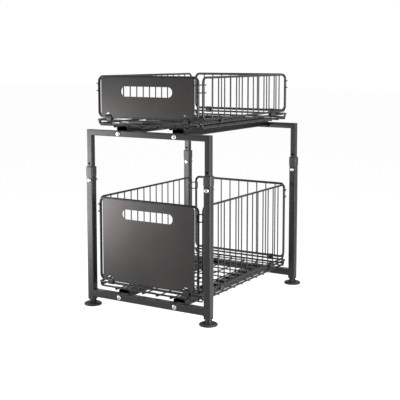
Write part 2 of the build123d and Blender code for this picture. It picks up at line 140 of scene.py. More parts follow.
class BasketFinishes(bpy.types.PropertyGroup):
    """Colours of the finishes."""

    frame_coat: colour_setting("Frame coat", "Powder coat on the square tube", "#1f1f20")
    plate_coat: colour_setting("Plate coat", "Powder coat on the front plates", "#272423")
    wire_coat: colour_setting("Wire coat", "Powder coat on the basket wires", "#0f1011")
    collar: colour_setting("Collar", "Moulded sleeves on the posts", "#262627")
    zinc: colour_setting("Zinc", "Bolts, nuts and screws", "#b6b8ba")
    slide: colour_setting("Slide steel", "Channels, cages and moving rails", "#1e1f20")
    ball: colour_setting("Ball steel", "Balls of the slides", "#d8d9da")
    plastic: colour_setting("Black plastic", "Feet and foot sockets", "#090909")


class BasketSizes(bpy.types.PropertyGroup):
    """Sizes of what the CAD solids leave plain."""

    bead_width: length_setting("Weld bead", "Width of a spot weld on the wires", 3.6)
    bead_height: length_setting("Bead height", "Height of a spot weld on the wires", 1.5)
    seam_width: length_setting("Seam bead", "Width of the weld seams on the tubes", 2.4)
    seam_step: length_setting("Seam step", "Spacing of the ripples in a weld seam", 1.0)
    hex_socket: length_setting("Hex socket", "Across flats of the bolts' sockets", 3.0)
    socket_depth: length_setting("Socket depth", "Depth of the bolts' sockets", 1.6)
    cross_length: length_setting("Cross recess", "Length of the screws' cross recess", 5.2)
    cross_width: length_setting("Cross width", "Width of the cross recess's arms", 1.3)
    cross_depth: length_setting("Cross depth", "Depth of the screws' cross recess", 1.5)
    shank: length_setting("Shank", "Diameter of bolts and screws", 5.0)
    nut_flats: length_setting("Nut", "Across flats of the cap nuts", 8.0)
    nut_flange: length_setting("Nut flange", "Thickness of the cap nuts' flange", 1.2)
    nut_hex: length_setting("Nut hexagon", "Height of the cap nuts' hexagon", 4.0)
    foot_neck: length_setting("Foot neck", "Diameter of the neck of a foot", 12.0)
    foot_stud: length_setting("Foot stud", "Diameter of the stud of a foot", 8.0)
    foot_disc: length_setting("Foot disc", "Thickness of the disc of a foot", 5.0)
    neck_top: length_setting("Neck top", "Top of the neck above the floor", 12.5)
    thread_pitch: length_setting("Thread pitch", "Pitch of the thread on the studs", 1.25)
    thread_depth: length_setting("Thread depth", "Depth of the thread on the studs", 0.65)
    grip_shift: length_setting("Grip shift", "Side panels' front ends, forward", 4.4)
    rib_count: bpy.props.IntProperty(
        name="Foot ribs",
        description="Grip ribs round the neck of a foot",
        min=3,
        max=24,
        default=8,
    )


class BasketStage(bpy.types.PropertyGroup):
    """Camera, lamps and floor."""

    lens: bpy.props.FloatProperty(
        name="Lens", description="Focal length in millimetres", min=20, default=79.11
    )
    azimuth: bpy.props.FloatProperty(
        name="Azimuth",
        description="Camera's bearing round the object, to the right of its front",
        subtype="ANGLE",
        default=math.radians(31.443),
    )
    pitch: bpy.props.FloatProperty(
        name="Pitch",
        description="Camera's tilt below the level",
        subtype="ANGLE",
        default=math.radians(6.122),
    )
    place: bpy.props.FloatVectorProperty(
        name="Place",
        description="Where the camera stands",
        subtype="TRANSLATION",
        unit="LENGTH",
        default=(0.9998, -1.6228, 0.5194),
    )
    rise: bpy.props.FloatProperty(
        name="Shift", description="Vertical shift of the lens", default=-0.12
    )
    key_power: bpy.props.FloatProperty(
        name="Key lamp", description="Soft lamp at the front left", subtype="POWER", default=9.0
    )
    side_power: bpy.props.FloatProperty(
        name="Side lamp", description="Soft strip at the right", subtype="POWER", default=10.0
    )
    ambient: bpy.props.FloatProperty(
        name="Ambient", description="Light of the room on the object", min=0.0, default=0.2
    )
    floor: colour_setting("Floor", "Floor of the studio", "#bcbcbc")


# ---- Meshes ----


def merged_mesh(node_name):
    """A copy of a CAD node's mesh with its triangles joined and its round faces smooth."""
    mesh = frame["nodes"][node_name].data.copy()
    if "custom_normal" in mesh.attributes:
        mesh.attributes.remove(mesh.attributes["custom_normal"])
    shape = bmesh.new()
    shape.from_mesh(mesh)
    bmesh.ops.remove_doubles(shape, verts=shape.verts, dist=MERGE_DISTANCE)
    shape.to_mesh(mesh)
    shape.free()
    mesh.materials.clear()
    mesh.shade_smooth()
    mesh.set_sharp_from_angle(angle=SMOOTH_ANGLE)
    return mesh


def solids_of(mesh):
    """The separate solids of a mesh: (lowest corner, highest corner, vertex numbers) each."""
    shape = bmesh.new()
    shape.from_mesh(mesh)
    shape.verts.ensure_lookup_table()
    seen = set()
    found = []
    for first in shape.verts:
        if first.index in seen:
            continue
        seen.add(first.index)
        group = [first]
        for vertex in group:
            for edge in vertex.link_edges:
                other = edge.other_vert(vertex)
                if other.index not in seen:
                    seen.add(other.index)
                    group.append(other)
        low = Vector(min(v.co[i] for v in group) for i in range(3))
        high = Vector(max(v.co[i] for v in group) for i in range(3))
        found.append((low, high, [v.index for v in group]))
    shape.free()
    return found


def joined(name, meshes):
    """One mesh from several, each with its own finish."""
    finishes = []
    shape = bmesh.new()
    for mesh in meshes:
        start = len(shape.faces)
        shape.from_mesh(mesh)
        shape.faces.ensure_lookup_table()
        for face in shape.faces[start:]:
            finish = mesh.materials[face.material_index]
            if finish not in finishes:
                finishes.append(finish)
            face.material_index = finishes.index(finish)
    result = bpy.data.meshes.new(name)
    shape.to_mesh(result)
    shape.free()
    for finish in finishes:
        result.materials.append(finish)
    return result


def finished(mesh, finish):
    """The mesh with one finish all over."""
    mesh.materials.clear()
    mesh.materials.append(finish)
    return mesh


def placed(node_name, mesh):
    """A piece that stands for a CAD node and moves with its body."""
    piece = bpy.data.objects.new("shown_" + node_name, mesh)
    bpy.context.scene.collection.objects.link(piece)
    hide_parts(node_name)
    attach(piece, frame["nodes"][node_name]["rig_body"])


def ramp(value, start, end):
    """How far a value is from start to end, from 0 to 1."""
    return min(max((value - start) / (end - start), 0.0), 1.0)


def spread(count, pitch):
    """Places of a row of wires about its middle."""
    return [(i - (count - 1) / 2) * pitch for i in range(count)]


def holder_of(points, turns=None):
    """An object of loose points, with a turn about Z stored on each."""
    mesh = bpy.data.meshes.new("places")
    mesh.from_pydata([tuple(point) for point in points], [], [])
    turn = mesh.attributes.new("turn", "FLOAT", "POINT")
    turn.data.foreach_set("value", turns or [0.0] * len(points))
    holder = bpy.data.objects.new("places", mesh)
    bpy.context.scene.collection.objects.link(holder)
    return holder


def grown(holder, tree, inputs):
    """The plain mesh that a Geometry Nodes tree makes from a holder, which is then removed."""
    modifier = holder.modifiers.new("Geometry Nodes", "NODES")
    modifier.node_group = tree
    for item in tree.interface.items_tree:
        if item.item_type == "SOCKET" and item.in_out == "INPUT" and item.name in inputs:
            modifier[item.identifier] = inputs[item.name]
    depsgraph = bpy.context.evaluated_depsgraph_get()
    mesh = bpy.data.meshes.new_from_object(holder.evaluated_get(depsgraph))
    holder.modifiers.remove(modifier)
    bpy.data.objects.remove(holder)
    return mesh


def around(steps):
    """Angles of one turn."""
    return [2 * math.pi * i / steps for i in range(steps)]


def circle(angle):
    """Distance to a circle of one unit, the same at every angle."""
    return 1.0


def hexagon(corner=math.inf):
    """Distance to a hexagon with flats at one unit, its corners cut round at this reach."""
    sector = math.pi / 3

    def reach(angle):
        return min(1.0 / math.cos((angle + sector / 2) % sector - sector / 2), corner)

    return reach


def cross_outline(length, width):
    """Distance to the edge of a cross, for arms of this length and width."""
    tiny = 1e-6  # keeps the divisions finite

    def reach(angle):
        along = max(abs(math.cos(angle)), tiny)
        over = max(abs(math.sin(angle)), tiny)
        first = min(length / 2 / along, width / 2 / over)
        second = min(length / 2 / over, width / 2 / along)
        return max(first, second)

    return reach


def skinned(name, shape, rows):
    """The mesh of a skin over rows of vertices, closed at both ends."""
    for low, high in zip(rows, rows[1:]):
        for i in range(len(low)):
            j = (i + 1) % len(low)
            shape.faces.new((low[i], low[j], high[j], high[i]))
    shape.faces.new(rows[0])
    shape.faces.new(rows[-1])
    bmesh.ops.recalc_face_normals(shape, faces=shape.faces)
    mesh = bpy.data.meshes.new(name)
    shape.to_mesh(mesh)
    shape.free()
    mesh.shade_smooth()
    mesh.set_sharp_from_angle(angle=SMOOTH_ANGLE)
    return mesh


def turned_mesh(name, rings, steps):
    """A closed mesh along -Y; each ring is (outline, radius, height)."""
    shape = bmesh.new()
    rows = []
    for outline, radius, height in rings:
        row = []
        for angle in around(steps):
            reach = outline(angle) * radius
            row.append(shape.verts.new((reach * math.cos(angle), -height, reach * math.sin(angle))))
        rows.append(row)
    return skinned(name, shape, rows)


# ---- Node trees ----


def node(tree, kind, settings=None, links=None):
    """Add one node: settings set its options and inputs, links feed its inputs."""
    made = tree.nodes.new(kind)
    for key, value in (settings or {}).items():
        if isinstance(key, int) or key[0].isupper():
            made.inputs[key].default_value = value
        else:
            setattr(made, key, value)
    for key, socket in (links or {}).items():
        tree.links.new(socket, made.inputs[key])
    return made


def geometry_tree(name, sockets):
    """An empty Geometry Nodes tree with named inputs; returns it and its input node."""
    tree = bpy.data.node_groups.new(name, "GeometryNodeTree")
    tree.interface.new_socket("Geometry", in_out="INPUT", socket_type="NodeSocketGeometry")
    for label, kind in sockets:
        tree.interface.new_socket(label, in_out="INPUT", socket_type="NodeSocket" + kind)
    tree.interface.new_socket("Geometry", in_out="OUTPUT", socket_type="NodeSocketGeometry")
    return tree, node(tree, "NodeGroupInput")


def close_tree(tree, given, instances, smooth):
    """End a tree: instances made real, shaded smooth if asked, with their finish."""
    real = node(tree, "GeometryNodeRealizeInstances", links={"Geometry": instances})
    if smooth:
        real = node(tree, "GeometryNodeSetShadeSmooth", links={"Geometry": real.outputs[0]})
    coated = node(
        tree,
        "GeometryNodeSetMaterial",
        links={"Geometry": real.outputs[0], "Material": given.outputs["Finish"]},
    )
    node(tree, "NodeGroupOutput", links={"Geometry": coated.outputs[0]})


def bead_tree():
    """Weld beads: flattened drops of slightly uneven size at each point."""
    sockets = [("Width", "Float"), ("Height", "Float"), ("Seed", "Int"), ("Finish", "Material")]
    tree, given = geometry_tree("Weld beads", sockets)
    smallest, largest = 0.85, 1.1
    drop = node(tree, "GeometryNodeMeshIcoSphere", {"Radius": 0.5, "Subdivisions": 2})
    uneven = node(
        tree,
        "FunctionNodeRandomValue",
        {"data_type": "FLOAT", 2: smallest, 3: largest},
        {"Seed": given.outputs["Seed"]},
    )
    size = node(
        tree,
        "ShaderNodeCombineXYZ",
        links={
            "X": given.outputs["Width"],
            "Y": given.outputs["Width"],
            "Z": given.outputs["Height"],
        },
    )
    varied = node(
        tree,
        "ShaderNodeVectorMath",
        {"operation": "SCALE"},
        {0: size.outputs[0], "Scale": uneven.outputs[1]},
    )
    placed_drops = node(
        tree,
        "GeometryNodeInstanceOnPoints",
        links={
            "Points": given.outputs["Geometry"],
            "Instance": drop.outputs["Mesh"],
            "Scale": varied.outputs[0],
        },
    )
    close_tree(tree, given, placed_drops.outputs[0], smooth=True)
    return tree


def copies_tree():
    """One copy of an object at each point, turned about Z by the point's own turn."""
    tree, given = geometry_tree("Copies at points", [("Object", "Object"), ("Finish", "Material")])
    shape = node(tree, "GeometryNodeObjectInfo", links={"Object": given.outputs["Object"]})
    turn = node(tree, "GeometryNodeInputNamedAttribute", {"data_type": "FLOAT", "Name": "turn"})
    spin = node(tree, "ShaderNodeCombineXYZ", links={"Z": turn.outputs["Attribute"]})
    placed_copies = node(
        tree,
        "GeometryNodeInstanceOnPoints",
        links={
            "Points": given.outputs["Geometry"],
            "Instance": shape.outputs["Geometry"],
            "Rotation": spin.outputs[0],
        },
    )
    close_tree(tree, given, placed_copies.outputs[0], smooth=False)
    return tree


def ball_tree():
    """Steel balls of one radius at each point."""
    tree, given = geometry_tree("Slide balls", [("Radius", "Float"), ("Finish", "Material")])
    ball = node(
        tree,
        "GeometryNodeMeshUVSphere",
        {"Segments": 20, "Rings": 12},
        {"Radius": given.outputs["Radius"]},
    )
    balls = node(
        tree,
        "GeometryNodeInstanceOnPoints",
        links={"Points": given.outputs["Geometry"], "Instance": ball.outputs["Mesh"]},
    )
    close_tree(tree, given, balls.outputs[0], smooth=True)
    return tree


def tree_named(name, make):
    """The tree of this name, made on first use."""
    return bpy.data.node_groups.get(name) or make()


def beads(points, width, height, finish):
    """A mesh of weld beads at these points."""
    inputs = {"Width": width, "Height": height, "Seed": 7, "Finish": finish}
    return grown(holder_of(points), tree_named("Weld beads", bead_tree), inputs)


def copies(mesh, points, turns, finish):
    """A mesh of copies of one shape at these points."""
    pattern = bpy.data.objects.new(mesh.name, mesh)
    bpy.context.scene.collection.objects.link(pattern)
    inputs = {"Object": pattern, "Finish": finish}
    made = grown(holder_of(points, turns), tree_named("Copies at points", copies_tree), inputs)
    bpy.data.objects.remove(pattern)
    return made


# ---- Finishes ----


def new_finish(name):
    """A material with an empty tree, its output and object coordinates."""
    material = bpy.data.materials.new(name)
    material.use_nodes = True
    tree = material.node_tree
    tree.nodes.clear()
    place = node(tree, "ShaderNodeTexCoord").outputs["Object"]
    return material, tree, place


def powder_coat(name, colour, flake_share, roughness):
    """Polyester powder coat with aluminium flake, sprayed on steel and baked.

    It is dark and satin, with a broad soft highlight, a faint orange peel and a sparkle.
    Real peel is about 0.8 mm across and flakes 0.05 mm; both are drawn coarser, to show.
    """
    peel_size = 2.2 * MM
    flake_size = 0.9 * MM
    cloud_size = 70 * MM
    material, tree, place = new_finish(name)
    cloud = node(tree, "ShaderNodeTexNoise", {"Scale": 1 / cloud_size, "Detail": 2.0}, {0: place})
    flakes = node(tree, "ShaderNodeTexVoronoi", {"Scale": 1 / flake_size}, {0: place})
    sparkle = node(
        tree,
        "ShaderNodeMapRange",
        {"From Min": 0.55, "From Max": 1.0, "To Min": 0.0, "To Max": 0.05},
        {"Value": flakes.outputs["Color"]},
    )
    shade = node(
        tree,
        "ShaderNodeMapRange",
        {**NOISE_RANGE, "To Min": 0.93, "To Max": 1.07},
        {"Value": cloud.outputs[0]},
    )
    base = node(
        tree,
        "ShaderNodeVectorMath",
        {"operation": "SCALE", 0: colour[:3]},
        {"Scale": shade.outputs[0]},
    )
    glitter = node(
        tree,
        "ShaderNodeMix",
        {"data_type": "RGBA", 7: linear("#9a9b9d")},
        {0: sparkle.outputs[0], 6: base.outputs[0]},
    )
    satin = node(
        tree,
        "ShaderNodeMapRange",
        {**NOISE_RANGE, "To Min": roughness - 0.03, "To Max": roughness + 0.03},
        {"Value": cloud.outputs[0]},
    )
    peel = node(tree, "ShaderNodeTexNoise", {"Scale": 1 / peel_size, "Detail": 1.0}, {0: place})
    relief = node(
        tree,
        "ShaderNodeBump",
        {"Strength": 0.07, "Distance": 0.05 * MM},
        {"Height": peel.outputs[0]},
    )
    surface = node(
        tree,
        "ShaderNodeBsdfPrincipled",
        {"Metallic": flake_share, "IOR": 1.5},
        {
            "Base Color": glitter.outputs[2],
            "Roughness": satin.outputs[0],
            "Normal": relief.outputs[0],
        },
    )
    node(tree, "ShaderNodeOutputMaterial", links={"Surface": surface.outputs[0]})
    return material


def zinc_plate(name, colour):
    """Bright zinc plate on cold-headed steel: pale, a little blue, softly uneven from the bath."""
    bath_size = 2.5 * MM
    material, tree, place = new_finish(name)
    bath = node(tree, "ShaderNodeTexNoise", {"Scale": 1 / bath_size, "Detail": 3.0}, {0: place})
    tint = node(
        tree,
        "ShaderNodeMix",
        {"data_type": "RGBA", 6: colour, 7: linear("#9da1a5")},
        {0: bath.outputs[0]},
    )
    dull = node(
        tree,
        "ShaderNodeMapRange",
        {**NOISE_RANGE, "To Min": 0.24, "To Max": 0.38},
        {"Value": bath.outputs[0]},
    )
    surface = node(
        tree,
        "ShaderNodeBsdfPrincipled",
        {"Metallic": 1.0},
        {"Base Color": tint.outputs[2], "Roughness": dull.outputs[0]},
    )
    node(tree, "ShaderNodeOutputMaterial", links={"Surface": surface.outputs[0]})
    return material


def rolled_steel(name, colour):
    """Cold-rolled strip, blackened: dark bare metal with fine lines drawn along the slide."""
    line_width = 0.9 * MM
    line_length = 60 * MM
    material, tree, place = new_finish(name)
    stretch = node(
        tree,
        "ShaderNodeMapping",
        {"Scale": (1 / line_width, 1 / line_length, 1 / line_width)},
        {"Vector": place},
    )
    lines = node(
        tree, "ShaderNodeTexNoise", {"Scale": 1.0, "Detail": 3.0}, {0: stretch.outputs[0]}
    )
    tone = node(
        tree,
        "ShaderNodeMapRange",
        {**NOISE_RANGE, "To Min": 0.8, "To Max": 1.25},
        {"Value": lines.outputs[0]},
    )
    base = node(
        tree,
        "ShaderNodeVectorMath",
        {"operation": "SCALE", 0: colour[:3]},
        {"Scale": tone.outputs[0]},
    )
    dull = node(
        tree,
        "ShaderNodeMapRange",
        {**NOISE_RANGE, "To Min": 0.3, "To Max": 0.44},
        {"Value": lines.outputs[0]},
    )
    surface = node(
        tree,
        "ShaderNodeBsdfPrincipled",
        {"Metallic": 1.0},
        {"Base Color": base.outputs[0], "Roughness": dull.outputs[0]},
    )
    node(tree, "ShaderNodeOutputMaterial", links={"Surface": surface.outputs[0]})
    return material


def moulded_plastic(name, colour, roughness):
    """Injection-moulded polypropylene: matt, with the fine spark grain of its mould.

    The real grain is about 0.2 mm across and is drawn at 0.7 mm, to show.
    """
    grain_size = 0.7 * MM
    flow_size = 18 * MM
    material, tree, place = new_finish(name)
    flow = node(tree, "ShaderNodeTexNoise", {"Scale": 1 / flow_size, "Detail": 2.0}, {0: place})
    tone = node(
        tree,
        "ShaderNodeMapRange",
        {**NOISE_RANGE, "To Min": 0.85, "To Max": 1.15},
        {"Value": flow.outputs[0]},
    )
    base = node(
        tree,
        "ShaderNodeVectorMath",
        {"operation": "SCALE", 0: colour[:3]},
        {"Scale": tone.outputs[0]},
    )
    dull = node(
        tree,
        "ShaderNodeMapRange",
        {**NOISE_RANGE, "To Min": roughness - 0.06, "To Max": roughness + 0.06},
        {"Value": flow.outputs[0]},
    )
    grain = node(tree, "ShaderNodeTexNoise", {"Scale": 1 / grain_size, "Detail": 2.0}, {0: place})
    relief = node(
        tree,
        "ShaderNodeBump",
        {"Strength": 0.25, "Distance": 0.06 * MM},
        {"Height": grain.outputs[0]},
    )
    surface = node(
        tree,
        "ShaderNodeBsdfPrincipled",
        {"Metallic": 0.0, "IOR": 1.49},
        {
            "Base Color": base.outputs[0],
            "Roughness": dull.outputs[0],
            "Normal": relief.outputs[0],
        },
    )
    node(tree, "ShaderNodeOutputMaterial", links={"Surface": surface.outputs[0]})
    return material


def polished_balls(name, colour):
    """Chrome steel bearing balls, lapped: a small bright mirror with a trace of grease."""
    film_size = 1.5 * MM
    material, tree, place = new_finish(name)
    film = node(tree, "ShaderNodeTexNoise", {"Scale": 1 / film_size}, {0: place})
    dull = node(
        tree,
        "ShaderNodeMapRange",
        {**NOISE_RANGE, "To Min": 0.1, "To Max": 0.2},
        {"Value": film.outputs[0]},
    )
    surface = node(
        tree,
        "ShaderNodeBsdfPrincipled",
        {"Metallic": 1.0, "Base Color": colour},
        {"Roughness": dull.outputs[0]},
    )
    node(tree, "ShaderNodeOutputMaterial", links={"Surface": surface.outputs[0]})
    return material


def seen_share(tree):
    """1 for rays from the camera, from mirrors and through glass, 0 for rays that light."""
    ray = node(tree, "ShaderNodeLightPath")
    seen = node(
        tree,
        "ShaderNodeMath",
        {"operation": "MAXIMUM"},
        {0: ray.outputs["Is Camera Ray"], 1: ray.outputs["Is Glossy Ray"]},
    )
    shown = node(
        tree,
        "ShaderNodeMath",
        {"operation": "MAXIMUM"},
        {0: seen.outputs[0], 1: ray.outputs["Is Transmission Ray"]},
    )
    return shown.outputs[0]


def finish(look):
    """The material of a look, made on first use from the panel's colours.

    The moulded collars match the coated tube in colour and gloss, so they share its tree.
    """
    wanted = bpy.context.scene.basket_finishes
    makers = {
        "frame_coat": ("Graphite powder coat on tube", powder_coat, wanted.frame_coat, 0.6, 0.36),
        "plate_coat": ("Graphite powder coat on sheet", powder_coat, wanted.plate_coat, 0.6, 0.34),
        "wire_coat": ("Dark powder coat on wire", powder_coat, wanted.wire_coat, 0.45, 0.3),
        "collar": ("Graphite moulded collar", powder_coat, wanted.collar, 0.5, 0.4),
        "zinc": ("Bright zinc plate", zinc_plate, wanted.zinc),
        "slide_steel": ("Blackened rolled steel", rolled_steel, wanted.slide),
        "ball_steel": ("Lapped chrome steel", polished_balls, wanted.ball),
        "black_plastic": ("Black moulded polypropylene", moulded_plastic, wanted.plastic, 0.66),
    }
    name, make, colour, *rest = makers[look]
    return bpy.data.materials.get(name) or make(name, tuple(colour), *rest)


# ---- Pieces ----


def plain_piece(name, slot, look=None):
    """A CAD piece in one finish, the slot's own unless another look is named."""
    placed(name, finished(merged_mesh(name), finish(look or slot)))


def welded_piece(name, mesh, points, width, height, slot):
    """A piece with weld beads at these points, all in the slot's finish."""
    coat = finish(slot)
    welds = beads(points, width, height, coat)
    placed(name, joined(name, [finished(mesh, coat), welds]))


class BASKET_OT_tube_frames(bpy.types.Operator):
    """Front and rear frames of square tube, with the weld seams of their bars."""

    bl_idname = "basket.tube_frames"
    bl_label = "Tube frames"

    def seam(self, low, high, step):
        """Points of the weld ripples in the inner corners of one frame."""
        points = []
        for x in (low.x + POST_TUBE, high.x - POST_TUBE):
            for z in (BOTTOM_BAR_Z, BOTTOM_BAR_Z + POST_TUBE):
                for i in range(1, int(POST_TUBE / step)):
                    points.append((x, low.y + i * step, z))
        return points

    def execute(self, context):
        sizes = context.scene.basket_sizes
        width = sizes.seam_width
        for end in ("front", "rear"):
            name = end + "_lower_frame"
            points = self.seam(*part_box(name), sizes.seam_step)
            welded_piece(name, merged_mesh(name), points, width, width, "frame_coat")
            plain_piece(end + "_upper_frame", "frame_coat")
        return {"FINISHED"}


class BASKET_OT_collars(bpy.types.Operator):
    """Moulded sleeves that close the gap between posts and legs."""

    bl_idname = "basket.collars"
    bl_label = "Post collars"

    def execute(self, context):
        plain_piece("post_collars", "frame_coat", look="collar")
        return {"FINISHED"}


class BASKET_OT_height_bolts(bpy.types.Operator):
    """Button-head bolts with hexagon sockets, and the cap nuts on their ends."""

    bl_idname = "basket.height_bolts"
    bl_label = "Height bolts and cap nuts"

    def bolt(self, sizes, low, high):
        """A bolt along Y, with the seat of its head at the origin."""
        head = (high.x - low.x) / 2
        shank = sizes.shank / 2
        flat = sizes.hex_socket / 2
        floor = BOLT_HEAD - sizes.socket_depth
        length = high.y - low.y - BOLT_HEAD
        rings = [
            (hexagon(), flat * 0.8, floor - 0.3 * MM),
            (hexagon(), flat, floor),
            (hexagon(), flat, BOLT_HEAD - 0.15 * MM),
            (hexagon(), flat * 1.12, BOLT_HEAD),
            (circle, head * 0.62, BOLT_HEAD),
            (circle, head * 0.8, BOLT_HEAD * 0.88),
            (circle, head * 0.93, BOLT_HEAD * 0.6),
            (circle, head * 0.99, BOLT_HEAD * 0.25),
            (circle, head, 0.1 * MM),
            (circle, head * 0.98, 0.0),
            (circle, shank, 0.0),
            (circle, shank, -length + 0.4 * MM),
            (circle, shank * 0.85, -length),
        ]
        return turned_mesh("height_bolt", rings, steps=36)

    def cap_nut(self, sizes, low, high):
        """A cap nut along -Y, with its seat at the origin."""
        flange = (high.z - low.z) / 2
        flats = sizes.nut_flats / 2
        base = sizes.nut_flange
        top = base + sizes.nut_hex
        tall = high.y - low.y
        dome = flats * 0.95
        rings = [
            (circle, sizes.shank / 2, 0.0),
            (circle, flange * 0.96, 0.0),
            (circle, flange, 0.15 * MM),
            (circle, flange, base * 0.6),
            (circle, flange * 0.94, base),
            (hexagon(1.13), flats, base * 1.05),
            (hexagon(1.13), flats, top - 0.35 * MM),
            (hexagon(1.01), flats, top),
            (circle, dome, top),
            (circle, dome * 0.99, top + (tall - top) * 0.3),
            (circle, dome * 0.9, top + (tall - top) * 0.58),
            (circle, dome * 0.7, top + (tall - top) * 0.8),
            (circle, dome * 0.4, top + (tall - top) * 0.95),
            (circle, dome * 0.12, tall),
        ]
        return turned_mesh("cap_nut", rings, steps=48)

    def execute(self, context):
        sizes = context.scene.basket_sizes
        zinc = finish("zinc")
        found = solids_of(merged_mesh("height_bolts"))
        bolt = self.bolt(sizes, *found[0][:2])
        points = [((a.x + b.x) / 2, a.y + BOLT_HEAD, (a.z + b.z) / 2) for a, b, _ in found]
        placed("height_bolts", copies(bolt, points, None, zinc))
        found = solids_of(merged_mesh("cap_nuts"))
        nut = self.cap_nut(sizes, *found[0][:2])
        points = [((a.x + b.x) / 2, a.y, (a.z + b.z) / 2) for a, b, _ in found]
        placed("cap_nuts", copies(nut, points, [math.pi] * len(points), zinc))
        return {"FINISHED"}


class BASKET_OT_rail_screws(bpy.types.Operator):
    """Pan-head screws with a cross recess, through the bars into the slides."""

    bl_idname = "basket.rail_screws"
    bl_label = "Rail screws"

    def screw(self, name, sizes, low, high):
        """A screw along Y, with the seat of its head at the origin."""
        head = (high.x - low.x) / 2
        shank = sizes.shank / 2
        length = high.y - low.y - SCREW_HEAD
        cross = cross_outline(sizes.cross_length, sizes.cross_width)
        rings = [
            (cross, 0.45, SCREW_HEAD - sizes.cross_depth),
            (cross, 0.8, SCREW_HEAD - sizes.cross_depth * 0.7),
            (cross, 1.0, SCREW_HEAD),
            (circle, head * 0.66, SCREW_HEAD),
            (circle, head * 0.84, SCREW_HEAD * 0.88),
            (circle, head * 0.96, SCREW_HEAD * 0.6),
            (circle, head, SCREW_HEAD * 0.25),
            (circle, head * 0.99, 0.0),
            (circle, shank, 0.0),
            (circle, shank, -length + 0.5 * MM),
            (circle, shank * 0.8, -length),
        ]
        return turned_mesh(name, rings, steps=72)

    def execute(self, context):
        sizes = context.scene.basket_sizes
        for tier in TIERS:
            name = tier + "_rail_screws"
            found = solids_of(merged_mesh(name))
            screw = self.screw(name, sizes, *found[0][:2])
            points = []
            turns = []
            for a, b, _ in found:
                rear = (a.y + b.y) / 2 > 0
                seat = b.y - SCREW_HEAD if rear else a.y + SCREW_HEAD
                points.append(((a.x + b.x) / 2, seat, (a.z + b.z) / 2))
                turns.append(math.pi if rear else 0.0)
            placed(name, copies(screw, points, turns, finish("zinc")))
        return {"FINISHED"}


class BASKET_OT_feet(bpy.types.Operator):
    """Levelling feet: grooved disc, ribbed neck and threaded stud, and their sockets."""

    bl_idname = "basket.feet"
    bl_label = "Levelling feet"

    def turned_foot(self, sizes, disc_radius, height):
        """A foot turned about Z at the middle of its floor face, with its thread."""
        neck = sizes.foot_neck / 2
        stud = sizes.foot_stud / 2
        disc = sizes.foot_disc
        profile = [
            (disc_radius - 6.0 * MM, 0.7 * MM),
            (disc_radius - 5.6 * MM, 0.0),
            (disc_radius - 0.8 * MM, 0.0),
            (disc_radius - 0.2 * MM, 0.3 * MM),
            (disc_radius, 0.9 * MM),
            (disc_radius, disc - 2.0 * MM),
            (disc_radius - 0.3 * MM, disc - 1.5 * MM),
            (disc_radius - 1.2 * MM, disc - 0.8 * MM),
            (disc_radius - 2.6 * MM, disc - 0.15 * MM),
            (disc_radius - 3.4 * MM, disc),
            (disc_radius - 4.6 * MM, disc - 0.5 * MM),
            (neck + 3.4 * MM, disc - 0.5 * MM),
            (neck + 1.6 * MM, disc - 0.1 * MM),
            (neck + 0.4 * MM, disc + 0.9 * MM),
            (neck, disc + 2.0 * MM),
            (neck, sizes.neck_top - 0.6 * MM),
            (neck - 0.6 * MM, sizes.neck_top),
            (stud, sizes.neck_top),
        ]
        steps = 40
        rows_per_turn = 6
        rows = [(radius, z, 0.0) for radius, z in profile]
        turns = (height - sizes.neck_top) / sizes.thread_pitch
        for i in range(1, int(turns * rows_per_turn)):
            rows.append((stud, sizes.neck_top + i * sizes.thread_pitch / rows_per_turn, 1.0))
        rows.append((stud - sizes.thread_depth, height, 0.0))
        shape = bmesh.new()
        rings = []
        for radius, z, threaded in rows:
            ring = []
            for angle in around(steps):
                phase = (z / sizes.thread_pitch - angle / (2 * math.pi)) % 1.0
                cut = threaded * sizes.thread_depth * abs(2 * phase - 1)
                reach = radius - cut
                ring.append(shape.verts.new((reach * math.cos(angle), reach * math.sin(angle), z)))
            rings.append(ring)
        return skinned("foot", shape, rings)

    def rib(self, sizes):
        """One grip rib, pointing along +X from the neck, with rounded edges."""
        width = 1.6 * MM
        inner = sizes.foot_neck / 2 - 0.4 * MM
        outer = sizes.foot_neck / 2 + 0.9 * MM
        low = sizes.foot_disc + 0.2 * MM
        high = sizes.neck_top - 0.8 * MM
        shape = bmesh.new()
        bmesh.ops.create_cube(shape, size=1.0)
        foot_out = 1.6 * MM  # how much further the rib reaches at the disc
        for vertex in shape.verts:
            x = outer if vertex.co.x > 0 else inner
            z = high if vertex.co.z > 0 else low
            lean = foot_out if vertex.co.x > 0 and vertex.co.z < 0 else 0.0
            vertex.co = (x + lean, width * vertex.co.y, z)
        bmesh.ops.bevel(
            shape,
            geom=list(shape.edges),
            offset=0.35 * MM,
            offset_type="OFFSET",
            segments=2,
            profile=0.5,
            affect="EDGES",
        )
        mesh = bpy.data.meshes.new("foot_rib")
        shape.to_mesh(mesh)
        shape.free()
        mesh.shade_smooth()
        return mesh

    def execute(self, context):
        sizes = context.scene.basket_sizes
        plastic = finish("black_plastic")
        for place in FEET:
            name = "foot_" + place
            low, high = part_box(name)
            middle = Vector(((low.x + high.x) / 2, (low.y + high.y) / 2, low.z))
            foot = self.turned_foot(sizes, (high.x - low.x) / 2, high.z - low.z)
            turns = around(sizes.rib_count)
            ribs = copies(self.rib(sizes), [middle] * len(turns), turns, plastic)
            body = copies(foot, [middle], None, plastic)
            placed(name, joined(name, [body, ribs]))
        plain_piece("foot_sockets", "black_plastic")
        return {"FINISHED"}


